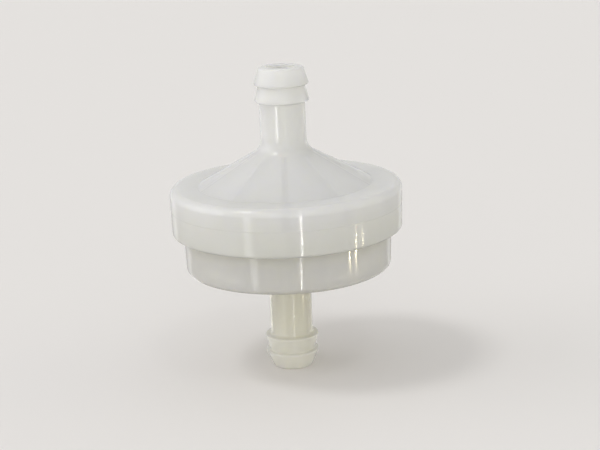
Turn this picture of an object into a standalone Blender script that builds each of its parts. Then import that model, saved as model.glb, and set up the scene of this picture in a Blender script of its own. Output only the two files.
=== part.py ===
"""In-line fuel filter: a moulded nylon cap whose skirt is welded over a cup, each with a stem for
quarter-inch hose, and a mesh screen on a frame between them. Metres, +Z up along the flow axis,
origin on the axis at the middle of the overall length."""

import math

import bmesh
import bpy
from mathutils import Matrix

MM = 0.001
STEPS = 48
SHARP = math.radians(35)
GAP = 0.3 * MM

# Overall sizes
LENGTH = 44.6 * MM
FLANGE_RADIUS = 16.8 * MM
FLANGE_TOP = 5.5 * MM
BODY_RADIUS = 15.1 * MM
BODY_BOTTOM = -7.05 * MM
BORE_RADIUS = 1.9 * MM

# Hose barbs: two saw teeth at the free end of each stem
BARB_RADIUS = 3.95 * MM
BARB_VALLEY = 3.35 * MM
BARB_PITCH = 2.4 * MM
BARB_LAND = 0.12 * MM
TIP_ROUND = 0.35 * MM
INLET_STEM_RADIUS = 3.3 * MM
INLET_TIP_RADIUS = 3.2 * MM
OUTLET_STEM_RADIUS = 3.1 * MM
OUTLET_TIP_RADIUS = 2.9 * MM
LAST_SHOULDER = 4.9 * MM

# Cap: a cone from the flange up to the stem, and a skirt down over the bowl's rim
CONE_RADIUS = 12.6 * MM
CONE_TOP = 10.1 * MM
CONE_TOP_RADIUS = 4.3 * MM
STEM_FILLET = 2.2 * MM
FLANGE_ROUND = 1.1 * MM
EDGE_ROUND = 0.4 * MM
CHAMBER_RADIUS = 12.95 * MM
CHAMBER_TOP = 4.0 * MM
CONE_BORE_TOP = 9.4 * MM
SKIRT_RADIUS = 16.7 * MM
SKIRT_BOTTOM = -1.3 * MM
MOULD_LINE = 2.5 * MM
MOULD_LINE_DROP = 0.1 * MM
CAP_RIBS = 10
RIB_THICKNESS = 0.9 * MM
CAP_RIB_START = 2.6 * MM
RIB_BURIED = 0.35 * MM

# Bowl: a cup whose rim stands inside the cap's skirt and carries the screen's ring
BOWL_TOP = 0.6 * MM
BOWL_WALL = 1.1 * MM
BODY_ROUND = 0.9 * MM
BODY_DRAFT = 0.15 * MM
STEM_ROOT = 0.6 * MM

# Screen: woven mesh on a ring with spokes
FRAME_HEIGHT = 0.7 * MM
FRAME_BORE = 12.7 * MM
SPOKE_WIDTH = 0.9 * MM
SPOKE_INSET = 0.05 * MM
SPOKE_BARS = 3
HUB_RADIUS = 1.8 * MM
MESH_THICKNESS = 0.2 * MM
MESH_RADIUS = 14.8 * MM

SKIRT_BORE = BODY_RADIUS + GAP
FRAME_BOTTOM = BOWL_TOP + GAP
MESH_BOTTOM = FRAME_BOTTOM + FRAME_HEIGHT + GAP
SHOULDER = MESH_BOTTOM + MESH_THICKNESS + GAP
BOWL_CHAMBER = BODY_RADIUS - BOWL_WALL
FLOOR = BODY_BOTTOM + BOWL_WALL


def arc(centre, radius, start, end, count=5):
    """Points on an arc in the profile plane, from the start angle to the end angle in degrees."""
    points = []
    for i in range(count):
        angle = math.radians(start + (end - start) * i / (count - 1))
        points.append((centre[0] + radius * math.cos(angle), centre[1] + radius * math.sin(angle)))
    return points


def barb_profile(tip, tip_radius, stem_radius):
    """A stem's free end with its tip at height +tip, from the bore's mouth down to below the last tooth."""
    first = tip - (LAST_SHOULDER - BARB_PITCH)
    last = tip - LAST_SHOULDER
    profile = [(BORE_RADIUS, tip - TIP_ROUND / 2), (BORE_RADIUS + TIP_ROUND / 2, tip)]
    profile += arc((tip_radius - TIP_ROUND, tip - TIP_ROUND), TIP_ROUND, 90, 0, 4)
    profile += [(BARB_RADIUS, first + BARB_LAND), (BARB_RADIUS, first)]
    profile += [(BARB_VALLEY, first - BARB_LAND)]
    profile += [(BARB_RADIUS, last + BARB_LAND), (BARB_RADIUS, last)]
    profile += [(stem_radius, last - BARB_LAND)]
    return profile


def cap_profile():
    """Down the outside from the inlet tip to the skirt's lip, then up the inside to the bore."""
    slope = math.atan2(CONE_TOP - FLANGE_TOP, CONE_RADIUS - CONE_TOP_RADIUS)
    fillet_r = INLET_STEM_RADIUS + STEM_FILLET
    touch_r = fillet_r - STEM_FILLET * math.sin(slope)
    touch_z = FLANGE_TOP + (CONE_RADIUS - touch_r) * math.tan(slope)
    fillet_z = touch_z + STEM_FILLET * math.cos(slope)
    profile = barb_profile(LENGTH / 2, INLET_TIP_RADIUS, INLET_STEM_RADIUS)
    profile += arc((fillet_r, fillet_z), STEM_FILLET, 180, 270 - math.degrees(slope), 6)
    profile += [(CONE_RADIUS, FLANGE_TOP)]
    profile += arc((FLANGE_RADIUS - FLANGE_ROUND, FLANGE_TOP - FLANGE_ROUND), FLANGE_ROUND, 90, 0, 6)
    profile += [(FLANGE_RADIUS, MOULD_LINE), (SKIRT_RADIUS, MOULD_LINE - MOULD_LINE_DROP)]
    profile += arc((SKIRT_RADIUS - EDGE_ROUND, SKIRT_BOTTOM + EDGE_ROUND), EDGE_ROUND, 0, -90, 4)
    profile += [(SKIRT_BORE, SKIRT_BOTTOM), (SKIRT_BORE, SHOULDER), (CHAMBER_RADIUS, SHOULDER)]
    profile += [(CHAMBER_RADIUS, CHAMBER_TOP), (BORE_RADIUS, CONE_BORE_TOP)]
    return profile


def bowl_profile():
    """Down the outside from the rim to the outlet tip, then up the inside back to the rim."""
    profile = [(BOWL_CHAMBER, BOWL_TOP), (BODY_RADIUS, BOWL_TOP), (BODY_RADIUS, SKIRT_BOTTOM)]
    low_radius = BODY_RADIUS - BODY_DRAFT
    profile += arc((low_radius - BODY_ROUND, BODY_BOTTOM + BODY_ROUND), BODY_ROUND, 0, -90, 6)
    root_r = OUTLET_STEM_RADIUS + STEM_ROOT
    profile += arc((root_r, BODY_BOTTOM - STEM_ROOT), STEM_ROOT, 90, 180, 4)
    barb = barb_profile(LENGTH / 2, OUTLET_TIP_RADIUS, OUTLET_STEM_RADIUS)
    profile += [(r, -z) for r, z in reversed(barb)]
    profile += [(BORE_RADIUS, FLOOR), (BOWL_CHAMBER - BODY_ROUND, FLOOR), (BOWL_CHAMBER, FLOOR + BODY_ROUND)]
    return profile


def new_collection(name):
    made = bpy.data.collections.new(name)
    bpy.context.scene.collection.children.link(made)
    return made


def new_material(name, colour, roughness, transmission):
    made = bpy.data.materials.new(name)
    made.use_nodes = True
    shader = made.node_tree.nodes["Principled BSDF"]
    shader.inputs["Base Color"].default_value = (*colour, 1.0)
    shader.inputs["Roughness"].default_value = roughness
    shader.inputs["Metallic"].default_value = 0.0
    shader.inputs["Transmission Weight"].default_value = transmission
    made.diffuse_color = (*colour, 1.0)
    return made


def link_object(name, mesh, collection):
    made = bpy.data.objects.new(name, mesh)
    collection.objects.link(made)
    return made


def turned(name, profile, collection):
    """A ring of revolution about Z from a closed profile of (radius, height) points."""
    shape = bmesh.new()
    verts = [shape.verts.new((r, 0.0, z)) for r, z in profile]
    for i, vert in enumerate(verts):
        shape.edges.new((vert, verts[(i + 1) % len(verts)]))
    mesh = bpy.data.meshes.new(name)
    shape.to_mesh(mesh)
    shape.free()
    made = link_object(name, mesh, collection)
    screw = made.modifiers.new("Turn", "SCREW")
    screw.axis = "Z"
    screw.angle = math.tau
    screw.steps = STEPS
    screw.render_steps = STEPS
    screw.use_merge_vertices = False
    return made


def plate(name, outline, thickness, collection):
    """A closed plate from an outline of (x, z) points, standing in the XZ plane and centred on it."""
    curve = bpy.data.curves.new(name + "_outline", "CURVE")
    curve.dimensions = "2D"
    curve.fill_mode = "BOTH"
    curve.extrude = thickness / 2
    spline = curve.splines.new("POLY")
    spline.points.add(len(outline) - 1)
    for point, (x, z) in zip(spline.points, outline):
        point.co = (x, z, 0.0, 1.0)
    spline.use_cyclic_u = True
    flat = link_object(name + "_outline", curve, collection)
    bpy.context.view_layer.update()
    mesh = bpy.data.meshes.new_from_object(flat.evaluated_get(bpy.context.evaluated_depsgraph_get()))
    bpy.data.objects.remove(flat)
    shape = bmesh.new()
    shape.from_mesh(mesh)
    bmesh.ops.remove_doubles(shape, verts=shape.verts, dist=0.00001)
    bmesh.ops.rotate(shape, verts=shape.verts, matrix=Matrix.Rotation(math.pi / 2, 3, "X"))
    bmesh.ops.recalc_face_normals(shape, faces=shape.faces)
    shape.to_mesh(mesh)
    shape.free()
    return mesh


def fan_of_ribs(name, outline, thickness, count, first_angle, collection):
    """Equal radial ribs round the Z axis as one hidden tool object."""
    rib = plate(name, outline, thickness, collection)
    shape = bmesh.new()
    for i in range(count):
        turn = Matrix.Rotation(first_angle + math.tau * i / count, 4, "Z")
        copy = rib.copy()
        copy.transform(turn)
        shape.from_mesh(copy)
        bpy.data.meshes.remove(copy)
    shape.to_mesh(rib)
    shape.free()
    return as_tool(link_object(name, rib, collection))


def as_tool(obj):
    obj.hide_render = True
    obj.display_type = "WIRE"
    return obj


def primitive(name, make, collection):
    """An object whose mesh the function make(shape) fills with a bmesh primitive."""
    shape = bmesh.new()
    make(shape)
    mesh = bpy.data.meshes.new(name)
    shape.to_mesh(mesh)
    shape.free()
    return link_object(name, mesh, collection)


def disc(name, radius, bottom, height, collection):
    def make(shape):
        centre = Matrix.Translation((0, 0, bottom + height / 2))
        bmesh.ops.create_cone(
            shape, cap_ends=True, segments=STEPS, radius1=radius, radius2=radius, depth=height, matrix=centre
        )

    return primitive(name, make, collection)


def bar(name, length, width, bottom, height, angle, collection):
    def make(shape):
        size = Matrix.Diagonal((length, width, height, 1))
        lift = Matrix.Translation((0, 0, bottom + height / 2))
        bmesh.ops.create_cube(shape, size=1, matrix=Matrix.Rotation(angle, 4, "Z") @ lift @ size)

    return primitive(name, make, collection)


def join(obj, tool):
    union = obj.modifiers.new("Join " + tool.name, "BOOLEAN")
    union.operation = "UNION"
    union.solver = "EXACT"
    union.object = tool


def finish(obj, material):
    """Puts the modifiers' result in the object's own mesh, with its material and its shading."""
    bpy.context.view_layer.update()
    graph = bpy.context.evaluated_depsgraph_get()
    mesh = bpy.data.meshes.new_from_object(obj.evaluated_get(graph))
    mesh.name = obj.name
    obj.modifiers.clear()
    obj.data = mesh
    mesh.materials.clear()
    mesh.materials.append(material)
    mesh.shade_smooth()
    mesh.set_sharp_from_angle(angle=SHARP)
    return obj


def make_inlet_cap(parts, tools):
    """Cone, flange, skirt, inlet stem and the radial ribs under the cone."""
    cap = turned("inlet_cap", cap_profile(), parts)
    outline = [
        (CAP_RIB_START, SHOULDER),
        (CHAMBER_RADIUS + RIB_BURIED, SHOULDER),
        (CHAMBER_RADIUS + RIB_BURIED, CHAMBER_TOP + RIB_BURIED),
        (CAP_RIB_START, CONE_BORE_TOP + RIB_BURIED / 2),
    ]
    front = -math.pi / 2
    join(cap, fan_of_ribs("cap_ribs", outline, RIB_THICKNESS, CAP_RIBS, front, tools))
    return finish(cap, new_material("cap_nylon", (0.78, 0.79, 0.75), 0.28, 0.3))


def make_outlet_bowl(parts):
    """Cup and outlet stem."""
    bowl = turned("outlet_bowl", bowl_profile(), parts)
    return finish(bowl, new_material("bowl_nylon", (0.72, 0.68, 0.58), 0.3, 0.3))


def make_screen_frame(parts, tools):
    """A flat ring on the bowl's rim, with a hub and spokes under the mesh."""
    top = FRAME_BOTTOM + FRAME_HEIGHT
    outer = [(BODY_RADIUS, top), (BODY_RADIUS, FRAME_BOTTOM)]
    frame = turned("screen_frame", outer + [(FRAME_BORE, FRAME_BOTTOM), (FRAME_BORE, top)], parts)
    length = FRAME_BORE + BODY_RADIUS
    spoke_bottom = FRAME_BOTTOM + SPOKE_INSET
    spoke_height = FRAME_HEIGHT - 2 * SPOKE_INSET
    for i in range(SPOKE_BARS):
        angle = math.pi * i / SPOKE_BARS
        spoke = bar(f"spoke_bar_{i + 1}", length, SPOKE_WIDTH, spoke_bottom, spoke_height, angle, tools)
        join(frame, as_tool(spoke))
    join(frame, as_tool(disc("frame_hub", HUB_RADIUS, FRAME_BOTTOM, FRAME_HEIGHT, tools)))
    return finish(frame, new_material("frame_nylon", (0.75, 0.74, 0.70), 0.4, 0.0))


def make_filter_screen(parts):
    """The woven nylon mesh as a plain thin disc on top of the frame, under the cap's shoulder and ribs."""
    screen = disc("filter_screen", MESH_RADIUS, MESH_BOTTOM, MESH_THICKNESS, parts)
    return finish(screen, new_material("screen_mesh", (0.70, 0.69, 0.63), 0.6, 0.0))


def main():
    for obj in list(bpy.data.objects):
        bpy.data.objects.remove(obj)
    parts = new_collection("fuel_filter")
    tools = new_collection("fuel_filter_tools")
    make_inlet_cap(parts, tools)
    make_outlet_bowl(parts)
    make_screen_frame(parts, tools)
    make_filter_screen(parts)


main()
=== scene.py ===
import math

import bmesh
import bpy
from mathutils import Matrix, Vector


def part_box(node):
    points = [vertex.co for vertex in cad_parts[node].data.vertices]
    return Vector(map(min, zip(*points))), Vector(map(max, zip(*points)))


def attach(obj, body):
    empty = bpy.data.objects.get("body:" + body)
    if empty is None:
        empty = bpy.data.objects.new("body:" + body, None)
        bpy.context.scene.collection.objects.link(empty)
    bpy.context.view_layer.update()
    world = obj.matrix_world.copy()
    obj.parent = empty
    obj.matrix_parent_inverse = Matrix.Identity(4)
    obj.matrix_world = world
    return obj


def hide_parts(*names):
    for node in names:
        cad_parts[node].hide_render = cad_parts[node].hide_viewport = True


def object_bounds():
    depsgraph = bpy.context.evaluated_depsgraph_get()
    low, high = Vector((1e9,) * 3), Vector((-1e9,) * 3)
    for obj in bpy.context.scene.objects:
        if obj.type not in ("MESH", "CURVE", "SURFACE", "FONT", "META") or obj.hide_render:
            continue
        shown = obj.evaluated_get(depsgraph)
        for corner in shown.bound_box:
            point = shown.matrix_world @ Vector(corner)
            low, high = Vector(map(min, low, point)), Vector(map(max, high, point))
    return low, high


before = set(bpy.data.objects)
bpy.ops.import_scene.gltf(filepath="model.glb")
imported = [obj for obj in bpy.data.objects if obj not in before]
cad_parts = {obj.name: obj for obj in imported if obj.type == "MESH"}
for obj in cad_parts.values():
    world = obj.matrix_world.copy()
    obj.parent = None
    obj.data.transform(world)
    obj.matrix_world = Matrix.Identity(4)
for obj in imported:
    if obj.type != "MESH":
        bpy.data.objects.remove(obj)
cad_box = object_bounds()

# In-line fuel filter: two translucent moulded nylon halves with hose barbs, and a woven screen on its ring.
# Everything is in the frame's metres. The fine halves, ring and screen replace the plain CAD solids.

MM = 0.001
BODY = "root"

# The frame's own sizes
CAP_LOW, CAP_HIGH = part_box("inlet_cap")
BOWL_LOW, BOWL_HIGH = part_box("outlet_bowl")
RING_LOW, RING_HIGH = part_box("screen_frame")
MESH_LOW, MESH_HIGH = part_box("filter_screen")
FLANGE_RADIUS = CAP_HIGH.x
SKIRT_BOTTOM = CAP_LOW.z
BODY_RADIUS = BOWL_HIGH.x
BOWL_TOP = BOWL_HIGH.z

# How finely profiles are divided and shaded
STEPS = 192
RING_STEPS = 144
HUB_STEPS = 48
ARC_SPANS = 6
WIDE_ARC_SPANS = 12
WIDE_ARC = 0.85 * MM
LONG_RUN = 0.45 * MM
SUPPORT = 0.03 * MM
SHARP_ANGLE = math.radians(32)

# Barbs. The last one is measured from the stem's tip, and the drop is the slant of a barb's back.
BORE_RADIUS = 1.9 * MM
BARB_RADIUS = 3.95 * MM
BARB_VALLEY = 3.35 * MM
BARB_PITCH = 2.4 * MM
LAST_BARB = 4.9 * MM
BARB_DROP = 0.14 * MM

# Housing: radii, and heights in the frame
INLET_STEM_RADIUS = 3.3 * MM
INLET_TIP_RADIUS = 3.2 * MM
OUTLET_STEM_RADIUS = 3.1 * MM
OUTLET_TIP_RADIUS = 2.9 * MM
FLANGE_TOP = 5.5 * MM
MOULD_LINE = 2.5 * MM
MOULD_STEP = 0.03 * MM
MOULD_STEP_HEIGHT = 0.12 * MM
SKIRT_RADIUS = 16.7 * MM
SKIRT_BORE = BODY_RADIUS + 0.03 * MM
CAP_SHOULDER = MESH_HIGH.z + 0.1 * MM
CONE_RADIUS = 12.6 * MM
CONE_TOP = 10.1 * MM
CONE_TOP_RADIUS = 4.3 * MM
CHAMBER_RADIUS = 12.95 * MM
CHAMBER_TOP = 4.0 * MM
CONE_BORE_TOP = 9.4 * MM
BODY_LOW_RADIUS = 14.95 * MM
BODY_BOTTOM = -7.05 * MM
BOWL_WALL = 1.1 * MM
CAP_RIBS = 10
CAP_RIB_START = 2.6 * MM
CAP_RIB_THICKNESS = 0.9 * MM
CAP_RIB_BURIED = 0.35 * MM

# Screen and its ring. Spokes start inside the hub and end inside the rim.
RING_BORE = 12.7 * MM
RING_FILLET = 0.12 * MM
HUB_RADIUS = 1.8 * MM
HUB_BORE = 0.8 * MM
HUB_FILLET = 0.1 * MM
SPOKES = 6
SPOKE_WIDTH = 0.9 * MM
SPOKE_START = HUB_RADIUS - 0.5 * MM
SPOKE_END = 13.2 * MM
SPOKE_INSET = 0.04 * MM
SCREEN_MARGIN = 0.3 * MM
THREAD_PITCH = 0.55 * MM
THREAD_RADIUS = 0.1 * MM
THREAD_SIDES = 6
THREAD_RINGS_PER_PITCH = 3
# A thread's swing over and under its neighbours, and its thickness in Z, as shares of its radius
THREAD_SWING = 0.55
THREAD_FLATNESS = 0.8

# Camera: where it stands from the centre of the flange's top, and how it is turned
CAMERA_ELEVATION = math.radians(14.9)
CAMERA_ROLL = math.radians(2.4)
CAMERA_BACK = 202.1 * MM
CAMERA_RIGHT = 2.1 * MM
CAMERA_UP = -6.25 * MM
CAMERA_LENS = 83.9
CAMERA_NEAR = 10 * MM

# Noises: cells per metre, detail and stretch
CLOUD = (150.0, 3.0, (1.0, 1.0, 0.6))
WAVES = (260.0, 1.0, (1.0, 1.0, 0.12))
RIPPLES = (700.0, 1.0)
GRAIN = (2400.0, 3.0)
RING_GRAIN = (1800.0, 4.0)
MESH_PATCHES = (400.0, 2.0)
MESH_GRAIN = (9000.0, 1.0)
# The part of a noise's range that a colour or a roughness follows
COLOUR_RANGE = (0.35, 0.65)
ROUGHNESS_RANGE = (0.3, 0.7)

# The halves' nylon. Spread is how far red, green and blue go in it, as shares of a half's scatter.
NYLON_IOR = 1.5
NYLON_ROUGHNESS = (0.03, 0.11)
NYLON_SPREAD = (1.0, 1.0, 0.9)
WAVE_DEPTH = 0.03 * MM
RIPPLE_DEPTH = 0.006 * MM
GRAIN_DEPTH = 0.003 * MM
CAP_CLEARNESS = 0.36
CAP_SCATTER = 1.4 * MM
CAP_DARK = (0.93, 0.93, 0.895)
CAP_LIGHT = (0.96, 0.96, 0.93)
BOWL_CLEARNESS = 0.42
BOWL_SCATTER = 2.2 * MM
BOWL_DARK = (0.935, 0.926, 0.866)
BOWL_LIGHT = (0.96, 0.951, 0.898)
# Sink marks over the cap's ribs
SINK_DEPTH = 0.03 * MM
SINK_WIDTH = 0.8 * MM
SINK_SOFTNESS = 0.3
# Painted light and shade by height. The cap is painted darker towards its lip, where less light reaches it.
CAP_PAINTED_SHADE = [(-1.3 * MM, (0.885, 0.888, 0.87)), (4.0 * MM, (1.0, 1.0, 1.0))]
# The bowl is painted lighter and warmer just under the lip, as painted light against the lip's shadow, and
# darker and yellower in its stem, less so on the barbs, as painted shade.
BOWL_PAINTED_LIGHT_AND_SHADE = [
    (-18.0 * MM, (0.985, 0.97, 0.93)),
    (-16.5 * MM, (0.965, 0.953, 0.875)),
    (-8.5 * MM, (0.965, 0.953, 0.875)),
    (-6.5 * MM, (0.99, 0.98, 0.97)),
    (-3.6 * MM, (0.99, 0.98, 0.97)),
    (-1.6 * MM, (1.045, 1.03, 0.93)),
]

# The inner pieces' nylon
RING_DARK = (0.68, 0.67, 0.63)
RING_LIGHT = (0.76, 0.75, 0.71)
RING_ROUGHNESS = (0.38, 0.52)
RING_GRAIN_DEPTH = 0.01 * MM
RING_SUBSURFACE = 0.5
RING_SCATTER = 0.5 * MM
MESH_DARK = (0.62, 0.61, 0.55)
MESH_LIGHT = (0.72, 0.71, 0.65)
MESH_ROUGHNESS = (0.4, 0.55)
MESH_GRAIN_DEPTH = 0.002 * MM

# Floor and sky
FLOOR_SIZE = 6.0
FLOOR_COLOUR = (0.80, 0.78, 0.77)
FLOOR_ROUGHNESS = 0.9
ZENITH_COLOUR = (0.595, 0.595, 0.588)
HORIZON_COLOUR = (0.752, 0.748, 0.742)
NADIR_COLOUR = (0.25, 0.22, 0.18)

# Soft lights: name, azimuth, elevation, angle of the disc, power and colour. Angles are in degrees.
SUNS = [
    ("key_light", -72, 63, 14, 0.50, (1.0, 1.0, 0.99)),
    ("small_right", 25, 64, 8, 0.09, (1.0, 1.0, 0.99)),
    ("fill_left", -90, 20, 60, 0.78, (1.0, 0.97, 0.955)),
    ("fill_front", 0, 20, 60, 0.36, (1.0, 0.98, 0.955)),
    ("fill_right", 90, 20, 60, 0.235, (1.0, 0.96, 0.67)),
]
WHITE = (1.0, 1.0, 0.98)
AMBER = (1.0, 0.87, 0.6)
# Lights for the highlights: name, azimuth, elevation, distance, width and height in metres, power and colour
PANELS = [
    ("strip_right", 13.3, -15, 0.6, 0.012, 0.35, 0.28, WHITE),
    ("panel_left", -38, -15, 0.6, 0.08, 0.35, 0.16, WHITE),
    ("inlet_stem_line", -29, -9.15, 0.6, 0.09, 0.036, 0.065, WHITE),
    ("outlet_stem_line", -141, -30.4, 0.056, 0.02, 0.009, 0.0005, WHITE),
    ("edge_left", -145, -16, 0.6, 0.12, 0.35, 0.05, WHITE),
    ("edge_right", 150, -16, 0.6, 0.10, 0.35, 0.04, WHITE),
    ("lamp_right_near", 70.3, -17.9, 0.6, 0.004, 0.018, 0.050, AMBER),
    ("lamp_right_far", 78.3, -17.9, 0.6, 0.004, 0.018, 0.040, AMBER),
]


def rounded(corners):
    """A closed profile from (radius, height, corner radius) triples, with each corner turned into an arc."""
    points = []
    for i, (r, z, radius) in enumerate(corners):
        here = Vector((r, z))
        if radius == 0:
            points.append(here)
            continue
        before = (Vector(corners[i - 1][:2]) - here).normalized()
        after = (Vector(corners[(i + 1) % len(corners)][:2]) - here).normalized()
        half = before.angle(after) / 2
        start = here + before * radius / math.tan(half)
        centre = here + (before + after).normalized() * radius / math.sin(half)
        sweep = (start - centre).angle_signed(here + after * radius / math.tan(half) - centre)
        spans = WIDE_ARC_SPANS if radius > WIDE_ARC else ARC_SPANS
        for k in range(spans + 1):
            turn = Matrix.Rotation(-sweep * k / spans, 2)
            points.append(centre + turn @ (start - centre))
    return supported(points)


def supported(points):
    """Adds a point close to each end of every long straight, so that smooth shading stays flat along it."""
    result = []
    for here, after in zip(points, points[1:] + points[:1]):
        result.append(here)
        run = after - here
        if run.length > LONG_RUN:
            result.append(here + run.normalized() * SUPPORT)
            result.append(after - run.normalized() * SUPPORT)
    return result


def linked(name, data):
    """A new object in the scene."""
    made = bpy.data.objects.new(name, data)
    bpy.context.scene.collection.objects.link(made)
    return made


def link_shape(name, shape):
    """A new object of the bmesh's shape, which it frees."""
    mesh = bpy.data.meshes.new(name)
    shape.to_mesh(mesh)
    shape.free()
    return linked(name, mesh)


def settle(obj):
    """Replaces the object's mesh by its modifiers' result, shaded smooth with sharp edges kept."""
    bpy.context.view_layer.update()
    graph = bpy.context.evaluated_depsgraph_get()
    mesh = bpy.data.meshes.new_from_object(obj.evaluated_get(graph))
    mesh.name = obj.name
    obj.modifiers.clear()
    obj.data = mesh
    mesh.shade_smooth()
    mesh.set_sharp_from_angle(angle=SHARP_ANGLE)
    return obj


def turned(name, profile, steps=STEPS):
    """A closed profile turned about Z."""
    shape = bmesh.new()
    verts = [shape.verts.new((p[0], 0.0, p[1])) for p in profile]
    for i, vert in enumerate(verts):
        shape.edges.new((vert, verts[(i + 1) % len(verts)]))
    made = link_shape(name, shape)
    screw = made.modifiers.new("Turn", "SCREW")
    screw.axis = "Z"
    screw.angle = math.tau
    screw.steps = steps
    screw.render_steps = steps
    screw.use_merge_vertices = False
    return made


def rib_fan(name, outline, thickness, count, first_angle):
    """Equal radial ribs from an outline of (radius, height) points, as one mesh of separate closed ribs."""
    shape = bmesh.new()
    for i in range(count):
        turn = Matrix.Rotation(first_angle + math.tau * i / count, 4, "Z")
        sides = []
        for side in (-0.5, 0.5):
            ring = [shape.verts.new(turn @ Vector((r, side * thickness, z))) for r, z in outline]
            sides.append(ring)
        shape.faces.new(sides[0])
        shape.faces.new(list(reversed(sides[1])))
        for k in range(len(outline)):
            after = (k + 1) % len(outline)
            shape.faces.new((sides[0][after], sides[0][k], sides[1][k], sides[1][after]))
    bmesh.ops.recalc_face_normals(shape, faces=shape.faces)
    return link_shape(name, shape)


def join(obj, tool):
    """Adds the tool's solid to the object's."""
    union = obj.modifiers.new("Join", "BOOLEAN")
    union.operation = "UNION"
    union.solver = "EXACT"
    union.object = tool
    settle(obj)
    bpy.data.objects.remove(tool)


def barb_corners(tip, tip_radius, stem_radius):
    """The outside of a stem's end, from its bore over the tip and two barbs to the stem."""
    first = tip - (LAST_BARB - BARB_PITCH)
    last = tip - LAST_BARB
    return [
        (BORE_RADIUS, tip, 0.18 * MM),
        (tip_radius, tip, 0.4 * MM),
        (BARB_RADIUS, first, 0.2 * MM),
        (BARB_VALLEY, first - BARB_DROP, 0.15 * MM),
        (BARB_RADIUS, last, 0.2 * MM),
        (stem_radius, last - BARB_DROP, 0.3 * MM),
    ]


def make_cap():
    """The cap's shell, with its ribs buried a little in the cone's wall."""
    slope = (CONE_TOP - FLANGE_TOP) / (CONE_RADIUS - CONE_TOP_RADIUS)
    root = FLANGE_TOP + (CONE_RADIUS - INLET_STEM_RADIUS) * slope
    corners = barb_corners(CAP_HIGH.z, INLET_TIP_RADIUS, INLET_STEM_RADIUS)
    corners += [
        (INLET_STEM_RADIUS, root, 2.2 * MM),
        (CONE_RADIUS, FLANGE_TOP, 0.25 * MM),
        (FLANGE_RADIUS, FLANGE_TOP, 1.1 * MM),
        (FLANGE_RADIUS, MOULD_LINE, 0.3 * MM),
        (FLANGE_RADIUS - MOULD_STEP, MOULD_LINE - MOULD_STEP_HEIGHT, 0.3 * MM),
        (SKIRT_RADIUS, SKIRT_BOTTOM, 0.4 * MM),
        (SKIRT_BORE, SKIRT_BOTTOM, 0.1 * MM),
        (SKIRT_BORE, CAP_SHOULDER, 0.1 * MM),
        (CHAMBER_RADIUS, CAP_SHOULDER, 0.15 * MM),
        (CHAMBER_RADIUS, CHAMBER_TOP, 0.6 * MM),
        (BORE_RADIUS, CONE_BORE_TOP, 0.8 * MM),
    ]
    cap = turned("cap_shell", rounded(corners))
    outline = [
        (CAP_RIB_START, CAP_SHOULDER),
        (CHAMBER_RADIUS + CAP_RIB_BURIED, CAP_SHOULDER),
        (CHAMBER_RADIUS + CAP_RIB_BURIED, CHAMBER_TOP + CAP_RIB_BURIED),
        (CAP_RIB_START, CONE_BORE_TOP + CAP_RIB_BURIED / 2),
    ]
    join(cap, rib_fan("cap_ribs", outline, CAP_RIB_THICKNESS, CAP_RIBS, -math.pi / 2))
    return cap


def make_bowl():
    """The cup and its stem, drawn from the rim down and back up the bore."""
    chamber = BODY_RADIUS - BOWL_WALL
    floor = BODY_BOTTOM + BOWL_WALL
    barb = barb_corners(-BOWL_LOW.z, OUTLET_TIP_RADIUS, OUTLET_STEM_RADIUS)
    corners = [
        (chamber, BOWL_TOP, 0.15 * MM),
        (BODY_RADIUS, BOWL_TOP, 0.3 * MM),
        (BODY_RADIUS, SKIRT_BOTTOM, 0),
        (BODY_LOW_RADIUS, BODY_BOTTOM, 0.9 * MM),
        (OUTLET_STEM_RADIUS, BODY_BOTTOM, 0.6 * MM),
    ]
    corners += [(r, -z, radius) for r, z, radius in reversed(barb)]
    corners += [
        (BORE_RADIUS, floor, 0.5 * MM),
        (chamber, floor, 0.9 * MM),
    ]
    return settle(turned("bowl_shell", rounded(corners)))


def node_material(name):
    made = bpy.data.materials.new(name)
    made.use_nodes = True
    tree = made.node_tree
    return made, tree, tree.nodes["Principled BSDF"]


def noise(tree, scale, detail, stretch=(1.0, 1.0, 1.0)):
    """A noise in the object's own metres, with its cells longer where stretch is smaller."""
    place = tree.nodes.new("ShaderNodeTexCoord")
    spread = tree.nodes.new("ShaderNodeMapping")
    spread.inputs["Scale"].default_value = stretch
    made = tree.nodes.new("ShaderNodeTexNoise")
    made.inputs["Scale"].default_value = scale
    made.inputs["Detail"].default_value = detail
    tree.links.new(place.outputs["Object"], spread.inputs["Vector"])
    tree.links.new(spread.outputs["Vector"], made.inputs["Vector"])
    return made.outputs["Fac"]


def tinted(tree, factor, dark, light):
    """A colour between dark and light that follows the factor."""
    ramp = tree.nodes.new("ShaderNodeValToRGB")
    for stop, position, colour in zip(ramp.color_ramp.elements, COLOUR_RANGE, (dark, light)):
        stop.position = position
        stop.color = (*colour, 1)
    tree.links.new(factor, ramp.inputs["Fac"])
    return ramp.outputs["Color"]


def uneven(tree, factor, low, high):
    """A roughness between low and high that follows the factor."""
    scale = tree.nodes.new("ShaderNodeMapRange")
    for socket, value in zip(("From Min", "From Max", "To Min", "To Max"), (*ROUGHNESS_RANGE, low, high)):
        scale.inputs[socket].default_value = value
    tree.links.new(factor, scale.inputs["Value"])
    return scale.outputs["Result"]


def bumped(tree, factor, distance, under=None):
    """A normal that the factor raises by distance, on top of another normal."""
    bump = tree.nodes.new("ShaderNodeBump")
    bump.inputs["Distance"].default_value = distance
    tree.links.new(factor, bump.inputs["Height"])
    if under:
        tree.links.new(under, bump.inputs["Normal"])
    return bump.outputs["Normal"]


def coordinates(tree, kind="Object"):
    """The X, Y and Z of one kind of texture coordinates."""
    place = tree.nodes.new("ShaderNodeTexCoord")
    parts = tree.nodes.new("ShaderNodeSeparateXYZ")
    tree.links.new(place.outputs[kind], parts.inputs["Vector"])
    return parts.outputs


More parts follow.
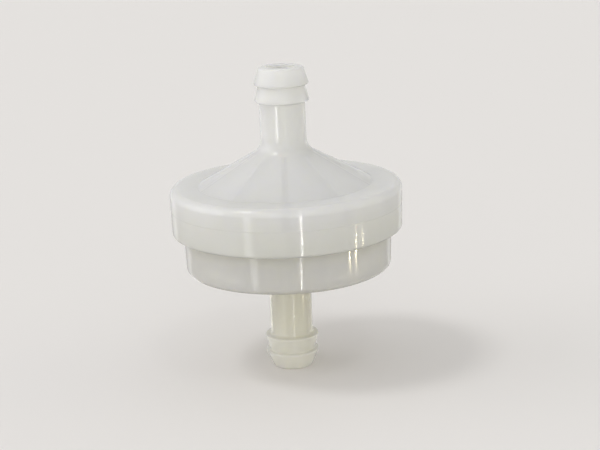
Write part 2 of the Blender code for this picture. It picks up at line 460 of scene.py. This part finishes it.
def height_colour(tree, z, stops):
    """A colour that follows the height z, from (height, colour) pairs."""
    low, high = stops[0][0], stops[-1][0]
    height = tree.nodes.new("ShaderNodeMapRange")
    height.inputs["From Min"].default_value = low
    height.inputs["From Max"].default_value = high
    ramp = tree.nodes.new("ShaderNodeValToRGB")
    ends = ramp.color_ramp.elements
    ends[0].color = (*stops[0][1], 1)
    ends[1].color = (*stops[-1][1], 1)
    for level, colour in stops[1:-1]:
        ends.new((level - low) / (high - low)).color = (*colour, 1)
    tree.links.new(z, height.inputs["Value"])
    tree.links.new(height.outputs["Result"], ramp.inputs["Fac"])
    return ramp.outputs["Color"]


def multiplied(tree, one, two):
    """The product of two colours. A Mix node's colour sockets share their names, so they go by number."""
    mix = tree.nodes.new("ShaderNodeMix")
    mix.data_type = "RGBA"
    mix.blend_type = "MULTIPLY"
    factor, first, second, result = 0, 6, 7, 2
    mix.inputs[factor].default_value = 1.0
    tree.links.new(one, mix.inputs[first])
    tree.links.new(two, mix.inputs[second])
    return mix.outputs[result]


def rib_sinks(tree):
    """A height that dips along each rib under the cone, as thick spots sink in cooling. Zero elsewhere."""
    def calc(operation, *values):
        made = tree.nodes.new("ShaderNodeMath")
        made.operation = operation
        for socket, value in zip(made.inputs, values):
            if isinstance(value, (int, float)):
                socket.default_value = value
            else:
                tree.links.new(value, socket)
        return made.outputs[0]

    x, y, z = coordinates(tree)
    spacing = math.tau / CAP_RIBS
    radius = calc("SQRT", calc("ADD", calc("POWER", x, 2), calc("POWER", y, 2)))
    turn = calc("DIVIDE", calc("ADD", calc("ARCTAN2", y, x), math.pi / 2), spacing)
    away = calc("MULTIPLY", calc("PINGPONG", turn, 0.5), spacing)
    distance = calc("MULTIPLY", away, radius)
    depth = calc("SUBTRACT", 1.0, calc("DIVIDE", distance, SINK_WIDTH / 2))
    dip = calc("SMOOTH_MIN", 1.0, calc("MAXIMUM", depth, 0.0), SINK_SOFTNESS)
    on_cone = calc("MULTIPLY", calc("GREATER_THAN", z, FLANGE_TOP), calc("LESS_THAN", z, CONE_TOP))
    return calc("MULTIPLY", calc("MULTIPLY", dip, on_cone), -1.0)


def nylon(name, dark, light, painted_shading, clearness, scatter, sinks=False):
    """Translucent moulded nylon: cloudy milk, faint flow lines up the walls, mould waves and fine scuffs."""
    made, tree, shader = node_material(name)
    grain = noise(tree, *GRAIN)
    milk = tinted(tree, noise(tree, *CLOUD), dark, light)
    # Painted light and shade by height, multiplied into the milky colour
    painted_shading_colour = height_colour(tree, coordinates(tree)["Z"], painted_shading)
    relief = bumped(tree, noise(tree, *WAVES), WAVE_DEPTH)
    relief = bumped(tree, noise(tree, *RIPPLES), RIPPLE_DEPTH, relief)
    relief = bumped(tree, grain, GRAIN_DEPTH, relief)
    if sinks:
        relief = bumped(tree, rib_sinks(tree), SINK_DEPTH, relief)
    tree.links.new(multiplied(tree, milk, painted_shading_colour), shader.inputs["Base Color"])
    tree.links.new(uneven(tree, grain, *NYLON_ROUGHNESS), shader.inputs["Roughness"])
    tree.links.new(relief, shader.inputs["Normal"])
    shader.inputs["IOR"].default_value = NYLON_IOR
    shader.inputs["Transmission Weight"].default_value = clearness
    shader.inputs["Subsurface Weight"].default_value = 1.0
    shader.inputs["Subsurface Radius"].default_value = NYLON_SPREAD
    shader.inputs["Subsurface Scale"].default_value = scatter
    return made


def mesh_nylon():
    """Dull monofilament, a little darker in places where the weave holds dust."""
    made, tree, shader = node_material("mesh_nylon")
    patches = noise(tree, *MESH_PATCHES)
    relief = bumped(tree, noise(tree, *MESH_GRAIN), MESH_GRAIN_DEPTH)
    tree.links.new(tinted(tree, patches, MESH_DARK, MESH_LIGHT), shader.inputs["Base Color"])
    tree.links.new(uneven(tree, patches, *MESH_ROUGHNESS), shader.inputs["Roughness"])
    tree.links.new(relief, shader.inputs["Normal"])
    return made


def ring_nylon():
    """Opaque moulded nylon with the fine matt grain of an unpolished mould."""
    made, tree, shader = node_material("ring_nylon")
    grain = noise(tree, *RING_GRAIN)
    tree.links.new(tinted(tree, grain, RING_DARK, RING_LIGHT), shader.inputs["Base Color"])
    tree.links.new(uneven(tree, grain, *RING_ROUGHNESS), shader.inputs["Roughness"])
    tree.links.new(bumped(tree, grain, RING_GRAIN_DEPTH), shader.inputs["Normal"])
    shader.inputs["Subsurface Weight"].default_value = RING_SUBSURFACE
    shader.inputs["Subsurface Scale"].default_value = RING_SCATTER
    return made


def floor_card():
    """Matt pale card."""
    made, _, shader = node_material("pale_card")
    shader.inputs["Base Color"].default_value = (*FLOOR_COLOUR, 1)
    shader.inputs["Roughness"].default_value = FLOOR_ROUGHNESS
    return made


def collar(bore, radius, fillet):
    """The profile of a plain ring as high as the screen's ring."""
    top, bottom = RING_HIGH.z, RING_LOW.z
    corners = [(bore, top), (radius, top), (radius, bottom), (bore, bottom)]
    return rounded([(r, z, fillet) for r, z in corners])


def make_ring():
    """A rim and a hub joined by spokes that are a little lower than both."""
    ring = turned("screen_ring", collar(RING_BORE, RING_HIGH.x, RING_FILLET), RING_STEPS)
    hub = turned("hub", collar(HUB_BORE, HUB_RADIUS, HUB_FILLET), HUB_STEPS)
    outline = [
        (SPOKE_START, RING_LOW.z + SPOKE_INSET),
        (SPOKE_END, RING_LOW.z + SPOKE_INSET),
        (SPOKE_END, RING_HIGH.z - SPOKE_INSET),
        (SPOKE_START, RING_HIGH.z - SPOKE_INSET),
    ]
    join(ring, rib_fan("spokes", outline, SPOKE_WIDTH, SPOKES, 0.0))
    join(ring, settle(hub))
    return ring


def thread(shape, start, across, along, length, phase, middle):
    """One woven thread: a tube that passes over and under its neighbours."""
    count = max(2, int(round(length / THREAD_PITCH * THREAD_RINGS_PER_PITCH)))
    rings = []
    for i in range(count + 1):
        travel = length * i / count
        wave = math.cos(math.pi * (travel / THREAD_PITCH) + phase) * THREAD_RADIUS * THREAD_SWING
        centre = start + along * travel + Vector((0, 0, middle + wave))
        ring = []
        for k in range(THREAD_SIDES):
            a = math.tau * k / THREAD_SIDES
            rise = math.sin(a) * THREAD_RADIUS * THREAD_FLATNESS
            offset = across * math.cos(a) * THREAD_RADIUS + Vector((0, 0, rise))
            ring.append(shape.verts.new(centre + offset))
        rings.append(ring)
    for one, two in zip(rings, rings[1:]):
        for k in range(THREAD_SIDES):
            after = (k + 1) % THREAD_SIDES
            shape.faces.new((one[k], one[after], two[after], two[k]))
    shape.faces.new(list(reversed(rings[0])))
    shape.faces.new(rings[-1])


def make_screen():
    """Plain weave cut to a disc."""
    radius = MESH_HIGH.x - SCREEN_MARGIN
    middle = (MESH_LOW.z + MESH_HIGH.z) / 2
    x_way, y_way = Vector((1, 0, 0)), Vector((0, 1, 0))
    shape = bmesh.new()
    count = int(radius / THREAD_PITCH)
    for i in range(-count, count + 1):
        offset = i * THREAD_PITCH
        half = math.sqrt(max(radius ** 2 - offset ** 2, 0))
        if half < THREAD_PITCH:
            continue
        steps = int(half / THREAD_PITCH)
        first = -steps * THREAD_PITCH
        for turned_over, along, across in ((0, x_way, y_way), (1, y_way, x_way)):
            start = across * offset + along * first
            phase = math.pi * ((i + steps + turned_over) % 2)
            thread(shape, start, across, along, -2 * first, phase, middle)
    bmesh.ops.recalc_face_normals(shape, faces=shape.faces)
    made = link_shape("woven_screen", shape)
    made.data.shade_smooth()
    return made


def make_floor():
    """A floor that takes the object's shadow, but doesn't light it, shade it or reflect in it."""
    bpy.ops.mesh.primitive_plane_add(size=FLOOR_SIZE, location=(0, 0, cad_box[0].z))
    floor = bpy.context.object
    floor.name = "floor"
    floor.data.materials.append(floor_card())
    floor.visible_glossy = False
    floor.visible_diffuse = False
    floor.visible_shadow = False


def aim(lamp, azimuth, elevation, distance=1.0):
    """Faces a lamp to the object. Azimuth 0 is in front of it and positive to its right, in degrees."""
    a, e = math.radians(azimuth), math.radians(elevation)
    away = Vector((math.sin(a) * math.cos(e), -math.cos(a) * math.cos(e), math.sin(e)))
    lamp.location = away * distance
    lamp.rotation_euler = away.to_track_quat("Z", "Y").to_euler()
    lamp.visible_camera = False


def add_lamp(name, kind, power, colour):
    light = bpy.data.lights.new(name, kind)
    light.energy = power
    light.color = colour
    return linked(name, light)


def add_panel(name, azimuth, elevation, distance, width, height, power, colour):
    """A rectangular light that mostly makes a reflection of its own shape."""
    lamp = add_lamp(name, "AREA", power, colour)
    lamp.data.shape = "RECTANGLE"
    lamp.data.size = width
    lamp.data.size_y = height
    aim(lamp, azimuth, elevation, distance)


def make_lights():
    for name, azimuth, elevation, angle, power, colour in SUNS:
        sun = add_lamp(name, "SUN", power, colour)
        sun.data.angle = math.radians(angle)
        aim(sun, azimuth, elevation)
    for panel in PANELS:
        add_panel(*panel)


def make_sky():
    """Even light, cool from above, brightest at the horizon for the silhouettes, warm from below."""
    world = bpy.data.worlds.new("studio")
    world.use_nodes = True
    tree = world.node_tree
    stops = [(-1.0, NADIR_COLOUR), (0.0, HORIZON_COLOUR), (1.0, ZENITH_COLOUR)]
    colour = height_colour(tree, coordinates(tree, "Generated")["Z"], stops)
    tree.links.new(colour, tree.nodes["Background"].inputs["Color"])
    bpy.context.scene.world = world


def make_camera():
    e, roll = CAMERA_ELEVATION, CAMERA_ROLL
    back = Vector((0, -math.cos(e), math.sin(e)))
    level_up = Vector((0, math.sin(e), math.cos(e)))
    right = math.cos(roll) * Vector((1, 0, 0)) - math.sin(roll) * level_up
    up = math.sin(roll) * Vector((1, 0, 0)) + math.cos(roll) * level_up
    data = bpy.data.cameras.new("camera")
    data.lens = CAMERA_LENS
    data.clip_start = CAMERA_NEAR
    camera = linked("camera", data)
    target = Vector((0, 0, FLANGE_TOP))
    position = target + right * CAMERA_RIGHT + up * CAMERA_UP + back * CAMERA_BACK
    turn = Matrix((right, up, back)).transposed().to_4x4()
    camera.matrix_world = Matrix.Translation(position) @ turn
    bpy.context.scene.camera = camera


def place_piece(piece, material, node):
    """Gives a piece its material and makes it stand for a node of the frame."""
    piece.data.materials.clear()
    piece.data.materials.append(material)
    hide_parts(node)
    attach(piece, BODY)


bpy.context.scene.view_settings.view_transform = "Standard"
make_camera()
make_lights()
make_sky()
make_floor()
cap_nylon = nylon("cap_nylon", CAP_DARK, CAP_LIGHT, CAP_PAINTED_SHADE, CAP_CLEARNESS, CAP_SCATTER, sinks=True)
bowl_nylon = nylon("bowl_nylon", BOWL_DARK, BOWL_LIGHT, BOWL_PAINTED_LIGHT_AND_SHADE, BOWL_CLEARNESS, BOWL_SCATTER)
place_piece(make_cap(), cap_nylon, "inlet_cap")
place_piece(make_bowl(), bowl_nylon, "outlet_bowl")
place_piece(make_ring(), ring_nylon(), "screen_frame")
place_piece(make_screen(), mesh_nylon(), "filter_screen")
